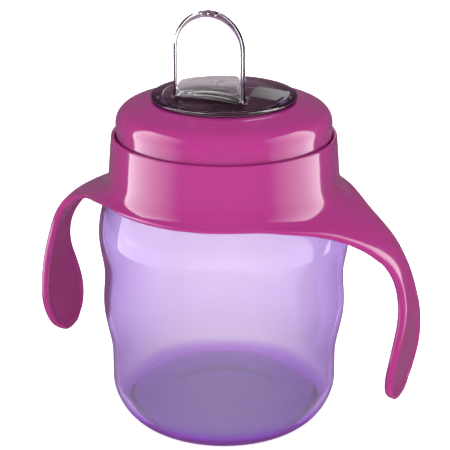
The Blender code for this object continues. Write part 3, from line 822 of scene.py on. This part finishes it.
deselect_all()
rows = spout_rows()
bpy.ops.mesh.primitive_grid_add(x_subdivisions=AROUND, y_subdivisions=len(rows) - 1, size=0.05)
spout = bpy.context.object
spout.name = spout.data.name = "spout_skin"
for index, vert in enumerate(spout.data.vertices):
    row, column = divmod(index, AROUND + 1)
    vert.co = rows[row][column % AROUND]
bpy.ops.object.mode_set(mode="EDIT")
bpy.ops.mesh.select_all(action="SELECT")
bpy.ops.mesh.remove_doubles(threshold=0.000004)
bpy.ops.mesh.select_all(action="DESELECT")
bpy.ops.mesh.select_non_manifold(extend=False, use_boundary=True)
bpy.ops.mesh.fill_holes(sides=AROUND + 2)
tidy_mesh()
report(spout)

for number in (-1, 0, 1):
    deselect_all()
    bpy.ops.mesh.primitive_cylinder_add(
        vertices=32, radius=DRINKING_HOLE, depth=0.0040, location=(number * HOLE_SPACING, -FORWARD, ARCH_TIP)
    )
    join_solids(spout, bpy.context.object, "DIFFERENCE")
smooth_shaded(spout, 50)
report(spout)

# %% [markdown]
# ## The valve
#
# Under the clear disc sits the rigid valve holder, moulded in plum plastic, with a soft smoky membrane in its
# socket. Both are turned. The holder's plum is made nearly black as painted shade: its dark plate stands in
# for the shadowed inside seen through the clear disc, and that is what gives the disc its depth. A small hole
# beside the socket lets air in.

# %% The valve holder
HOLDER_TOP = 0.0988
PLATE_TOP = 0.0966
PLATE_BOTTOM = 0.0954
SOCKET_BOTTOM = 0.0916
VALVE_ROUNDING = 0.00025
holder = turned(
    "valve_holder_skin",
    rounded(
        [
            (0.0177, HOLDER_TOP),
            (0.0177, PLATE_TOP),
            (0.0207, PLATE_TOP),
            (0.0207, PLATE_BOTTOM),
            (0.0100, PLATE_BOTTOM),
            (0.0100, SOCKET_BOTTOM),
            (0.0086, SOCKET_BOTTOM),
            (0.0086, PLATE_BOTTOM),
            (0.0066, PLATE_BOTTOM),
            (0.0066, PLATE_TOP),
            (0.0163, PLATE_TOP),
            (0.0163, HOLDER_TOP),
        ],
        VALVE_ROUNDING,
    ),
)
deselect_all()
bpy.ops.mesh.primitive_cylinder_add(vertices=32, radius=0.0009, depth=0.01, location=(0.01315, 0, 0.096))
join_solids(holder, bpy.context.object, "DIFFERENCE")
smooth_shaded(holder)
report(holder)

# %% [markdown]
# The membrane is a small soft cap with a thick rim and a thin arched web. Two crossed slits are cut through
# the web, which stay shut until the child sucks.

# %% The membrane
RIM_TOP = 0.0951
RIM_BOTTOM = 0.0925
WEB_RISE = 0.0012
WEB_WALL = 0.0007
SLIT_LENGTH = 0.0060
SLIT_WIDTH = 0.0003


def membrane_outline():
    rim, web, low = 0.00825, 0.00665, 0.0926
    crown = [(web * i / 10, low + WEB_RISE * (1 - (i / 10) ** 2)) for i in range(11)]
    upper = [(r, z + WEB_WALL) for r, z in crown]
    corners = [(web, RIM_TOP), (rim, RIM_TOP), (rim, RIM_BOTTOM), (web, RIM_BOTTOM)]
    edge = rounded([(0, 0.09)] + corners + [(0, 0.1)], 0.0002)
    return upper + edge[1:-1] + crown[::-1]


membrane = turned("valve_membrane_skin", membrane_outline(), steps=96)
for size in ((SLIT_LENGTH, SLIT_WIDTH, 0.01), (SLIT_WIDTH, SLIT_LENGTH, 0.01)):
    deselect_all()
    bpy.ops.mesh.primitive_cube_add(size=1, location=(0, 0, 0.094), scale=size)
    bpy.ops.object.transform_apply(location=False, rotation=False, scale=True)
    join_solids(membrane, bpy.context.object, "DIFFERENCE")
smooth_shaded(membrane)
report(membrane)

# %% [markdown]
# ## Materials
#
# Moulded plastic is never perfectly even: the mould leaves a faint orange peel, and the gloss varies a little
# where hands have rubbed it. Noise on Object coordinates gives both, at a real scale, and stays put on the
# surface. Numbers that don't vary are set on the shader's own sockets.

# %% Helpers for shader nodes
def add_node(material, kind, **values):
    """Adds a shader node and sets its inputs. In a name, an underscore stands for a space."""
    node = material.node_tree.nodes.new("ShaderNode" + kind)
    for socket, value in values.items():
        node.inputs[socket.replace("_", " ")].default_value = value
    return node


def link(material, output, target):
    material.node_tree.links.new(output, target)


def remapped(material, value, smooth=False, **ranges):
    """The value, moved from one range to another."""
    node = add_node(material, "MapRange", **ranges)
    if smooth:
        node.interpolation_type = "SMOOTHSTEP"
    link(material, value, node.inputs["Value"])
    return node.outputs["Result"]


def colour_mix(material, factor, tint):
    """A node that mixes its colour A with the tint by the factor."""
    node = material.node_tree.nodes.new("ShaderNodeMix")
    node.data_type = "RGBA"
    node.inputs["B"].default_value = (*tint, 1)
    link(material, factor, node.inputs["Factor"])
    return node


# %% A helper for moulded finishes
def moulded(name, colour, gloss, peel=0.02, peel_size=0.004, second_colour=None, **sockets):
    """A Principled material with uneven gloss, a faint orange peel and a slight drift of colour."""
    material = bpy.data.materials.new(name)
    material.use_nodes = True
    shader = material.node_tree.nodes["Principled BSDF"]
    place = add_node(material, "TexCoord").outputs["Object"]
    cloud = add_node(material, "TexNoise", Scale=38, Detail=5)
    link(material, place, cloud.inputs["Vector"])
    rough = remapped(
        material, cloud.outputs["Fac"], From_Min=0.3, From_Max=0.7, To_Min=gloss[0], To_Max=gloss[1]
    )
    link(material, rough, shader.inputs["Roughness"])
    drift = colour_mix(material, cloud.outputs["Fac"], second_colour or colour)
    drift.inputs["A"].default_value = (*colour, 1)
    link(material, drift.outputs["Result"], shader.inputs["Base Color"])
    grain = add_node(material, "TexNoise", Scale=1 / peel_size, Detail=2)
    link(material, place, grain.inputs["Vector"])
    bump = add_node(material, "Bump", Strength=peel, Distance=0.0002)
    link(material, grain.outputs["Fac"], bump.inputs["Height"])
    link(material, bump.outputs["Normal"], shader.inputs["Normal"])
    for socket, value in sockets.items():
        shader.inputs[socket.replace("_", " ")].default_value = value
    return material


def finish_with(piece, material, body, node):
    piece.data.materials.clear()
    piece.data.materials.append(material)
    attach(piece, body)
    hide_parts(node)


# %% [markdown]
# The handles and the screw ring share one glossy magenta plastic. A clear coat on top gives the deep polish
# of a mirror-finished mould, so the soft boxes show in it as broad clean bands.

# %% Magenta plastic
for piece, name, body, node, slot in (
    (handles, "magenta_plastic", "handles", "handle_ring", "handle_plastic"),
    (screw_ring, "magenta_ring_plastic", "ring", "screw_ring", "ring_plastic"),
):
    magenta = moulded(
        name,
        (0.262, 0.021, 0.142),
        (0.10, 0.16),
        peel=0.03,
        second_colour=(0.295, 0.024, 0.160),
        IOR=1.5,
        Coat_Weight=1.0,
        Coat_Roughness=0.05,
        Subsurface_Weight=0.08,
        Subsurface_Scale=0.002,
    )
    finish_with(piece, magenta, body, node)
    print(name, "on", piece.name)

# %% [markdown]
# The cup's plastic is tinted all through, so its colour comes from how much plastic the light crosses: pale
# in the middle of the wall and dark where we look along it. Volume absorption does this by itself. The
# surface is a slightly hazy clear plastic. On top of that, a painted shade mixes its colour towards deep
# violet where the wall is seen edge-on, which darkens the cup's sides and leaves its middle lighter. The
# base, where the plastic is thickest, is deeper in colour and a little less clear.

# %% Violet see-through plastic
BASE_FADE_TOP = 0.0085
BASE_FADE_BOTTOM = 0.0040
violet = moulded(
    "violet_plastic",
    (0.84, 0.84, 0.84),
    (0.03, 0.06),
    peel=0.003,
    peel_size=0.008,
    second_colour=(0.81, 0.81, 0.825),
    IOR=1.46,
    Transmission_Weight=0.90,
)
shader = violet.node_tree.nodes["Principled BSDF"]
# Painted shade: the colour is mixed towards deep violet where the wall is seen edge-on, darkening the cup's
# sides.
edge_shade_facing = add_node(violet, "LayerWeight", Blend=0.35)
painted_edge_shade = colour_mix(violet, edge_shade_facing.outputs["Facing"], (0.36, 0.22, 0.62))
link(violet, shader.inputs["Base Color"].links[0].from_socket, painted_edge_shade.inputs["A"])

# %% The deeper base
place = add_node(violet, "TexCoord").outputs["Object"]
height = add_node(violet, "SeparateXYZ")
link(violet, place, height.inputs["Vector"])
lowness = remapped(
    violet, height.outputs["Z"], smooth=True, From_Min=BASE_FADE_TOP, From_Max=BASE_FADE_BOTTOM
)
base_tint = colour_mix(violet, lowness, (0.58, 0.16, 0.92))
link(violet, painted_edge_shade.outputs["Result"], base_tint.inputs["A"])
link(violet, base_tint.outputs["Result"], shader.inputs["Base Color"])
link(violet, remapped(violet, lowness, To_Min=0.88, To_Max=0.80), shader.inputs["Transmission Weight"])
soak = add_node(violet, "VolumeAbsorption", Color=(0.57, 0.28, 0.80, 1))
link(violet, remapped(violet, lowness, To_Min=270, To_Max=440), soak.inputs["Density"])
link(violet, soak.outputs["Volume"], violet.node_tree.nodes["Material Output"].inputs["Volume"])
finish_with(cup, violet, "cup", "cup_body")

# %% [markdown]
# Silicone is a little softer to look through than glass and slightly warm. Its index is about 1.41. The
# roughness stays very low, because the arch has to show crisp bright and dark lines along its edges.

# %% Clear silicone, plum plastic with painted shade and smoky silicone
silicone = moulded(
    "clear_silicone",
    (0.97, 0.965, 0.97),
    (0.01, 0.035),
    peel=0.015,
    peel_size=0.003,
    IOR=1.41,
    Transmission_Weight=1.0,
)
finish_with(spout, silicone, "lid", "spout")
# The holder's near-black plum is partly painted shade: it stands in for the shadowed inside seen through the
# clear disc.
plum = moulded("plum_plastic", (0.11, 0.012, 0.042), (0.25, 0.38), peel=0.08, peel_size=0.0012, IOR=1.5)
finish_with(holder, plum, "valve", "valve_holder")
smoke = moulded(
    "smoky_silicone",
    (0.10, 0.085, 0.095),
    (0.30, 0.42),
    peel=0.05,
    peel_size=0.001,
    IOR=1.41,
    Transmission_Weight=0.35,
)
finish_with(membrane, smoke, "membrane", "valve_membrane")

# %% [markdown]
# ## Studio
#
# The cup stands on a pale floor that glows a little, so that it is as bright in the shade as in the light.

# %% Floor
def glowing(name, colour, strength):
    material = bpy.data.materials.new(name)
    material.use_nodes = True
    shader = material.node_tree.nodes["Principled BSDF"]
    shader.inputs["Base Color"].default_value = (*colour, 1)
    shader.inputs["Roughness"].default_value = 0.9
    shader.inputs["Specular IOR Level"].default_value = 0.0
    shader.inputs["Emission Color"].default_value = (*colour, 1)
    shader.inputs["Emission Strength"].default_value = strength
    return material


deselect_all()
bpy.ops.mesh.primitive_circle_add(vertices=96, radius=4.0, fill_type="NGON", location=(0, 0, -0.0002))
floor = bpy.context.object
floor.name = "floor"
floor.data.materials.append(glowing("pale_floor", (0.985, 0.98, 0.985), 0.75))
floor.data.materials[0].cycles.emission_sampling = "NONE"
floor.visible_glossy = False

# %% [markdown]
# Two tall soft boxes stand close on the left and on the right, down to the floor, because a steep wall seen
# from above mirrors what is low. Each fades towards the camera, as a soft box does when its lamp is turned to
# one side. A third, small one hangs behind the cup. They only serve the reflections.

# %% Soft boxes
VIEW_AZIMUTH = math.radians(25.85)
VIEW_ELEVATION = math.radians(20.58)


def around(azimuth, distance, height):
    """A place at an azimuth, in degrees, from the camera's side of the cup."""
    angle = VIEW_AZIMUTH + math.radians(azimuth)
    return Vector((math.sin(angle) * distance, -math.cos(angle) * distance, height))


def upright_panel(name, place, width, height):
    """A plane that stands upright and faces the cup's axis."""
    deselect_all()
    bpy.ops.mesh.primitive_plane_add(size=1, location=place)
    panel = bpy.context.object
    panel.name = name
    panel.scale = (width, height, 1)
    panel.rotation_euler = Vector((-place.x, -place.y, 0)).to_track_quat("Z", "Y").to_euler()
    return panel


def soft_box(name, azimuth, distance, width, height, first, last):
    """An upright glowing panel. Its glow changes along its own X, from first to last."""
    panel = upright_panel(name, around(azimuth, distance, height / 2 + 0.002), width, height)
    material = bpy.data.materials.new(name)
    material.use_nodes = True
    material.node_tree.nodes.remove(material.node_tree.nodes["Principled BSDF"])
    split = add_node(material, "SeparateXYZ")
    glow = add_node(material, "Emission")
    link(material, add_node(material, "TexCoord").outputs["UV"], split.inputs["Vector"])
    link(material, remapped(material, split.outputs["X"], To_Min=first, To_Max=last), glow.inputs["Strength"])
    link(material, glow.outputs["Emission"], material.node_tree.nodes["Material Output"].inputs["Surface"])
    panel.data.materials.append(material)
    material.cycles.emission_sampling = "NONE"
    panel.visible_diffuse = False
    panel.visible_transmission = False
    return panel


soft_box("left_box", -71, 0.20, 0.235, 0.30, 0.1, 4.2)
soft_box("right_box", 71, 0.20, 0.235, 0.30, 3.8, 0.1)
back_box = soft_box("back_box", 172, 0.80, 0.08, 0.22, 0.5, 1.3)
back_box.location.z = 0.385
print("soft boxes stand", round(around(71, 0.20, 0).length, 3), "m from the cup's axis")

# %% [markdown]
# Clear things are drawn by what they bend into view. A dark card stands behind the cup on each side, and only
# the see-through pieces show it. It draws the dark lines along the clear arch and the cup's outline.

# %% Dark cards
for side in (1, -1):
    card = upright_panel("dark_card", around(180 - side * 56, 0.36, 0.22), 0.34, 0.46)
    card.data.materials.append(glowing("dark_card", (0.045, 0.018, 0.065), 0.0))
    card.visible_camera = False
    card.visible_diffuse = False
    card.visible_glossy = False

# %% [markdown]
# The even light comes from four large round area lights that don't show in the gloss or through the clear
# pieces. The world is dim, so that clear silicone gets dark lines along its edges.

# %% Area lights for the even light
def even_light(name, azimuth, distance, height, size, energy):
    place = around(azimuth, distance, height)
    bpy.ops.object.light_add(type="AREA", location=place)
    light = bpy.context.object
    light.name = name
    light.data.shape = "DISK"
    light.data.size = size
    light.data.energy = energy
    light.rotation_euler = (place - Vector((0, 0, 0.06))).to_track_quat("Z", "Y").to_euler()
    light.visible_glossy = False
    light.visible_transmission = False
    return light


even_light("front_light", 0, 0.9, 0.7, 0.8, 9)
even_light("left_light", -95, 0.8, 0.35, 0.6, 19)
even_light("right_light", 95, 0.8, 0.35, 0.6, 19)
even_light("top_light", 0, 0.05, 1.0, 0.8, 8)

world = bpy.data.worlds.new("studio_world")
bpy.context.scene.world = world
world.use_nodes = True
world.node_tree.nodes["Background"].inputs["Color"].default_value = (1.0, 0.55, 0.82, 1)
world.node_tree.nodes["Background"].inputs["Strength"].default_value = 0.20

# %% [markdown]
# The camera looks down at the cup from the front and a little from the right, so that the right-hand handle
# comes nearer. A long lens keeps the lathe shapes calm.

# %% Camera
VIEW_DISTANCE = 0.450
LENS = 118.4
SIDE_SHIFT = 0.00222
target = Vector((0, 0, 0.061))
back = Vector(
    (
        math.sin(VIEW_AZIMUTH) * math.cos(VIEW_ELEVATION),
        -math.cos(VIEW_AZIMUTH) * math.cos(VIEW_ELEVATION),
        math.sin(VIEW_ELEVATION),
    )
)
bpy.ops.object.camera_add(location=target + back * VIEW_DISTANCE)
camera = bpy.context.object
camera.name = "camera"
camera.rotation_euler = back.to_track_quat("Z", "Y").to_euler()
camera.data.sensor_width = 36
camera.data.lens = LENS
camera.data.shift_x = SIDE_SHIFT
camera.data.clip_start = 0.01
camera.data.dof.use_dof = False
bpy.context.scene.camera = camera
bpy.context.scene.view_settings.view_transform = "Standard"
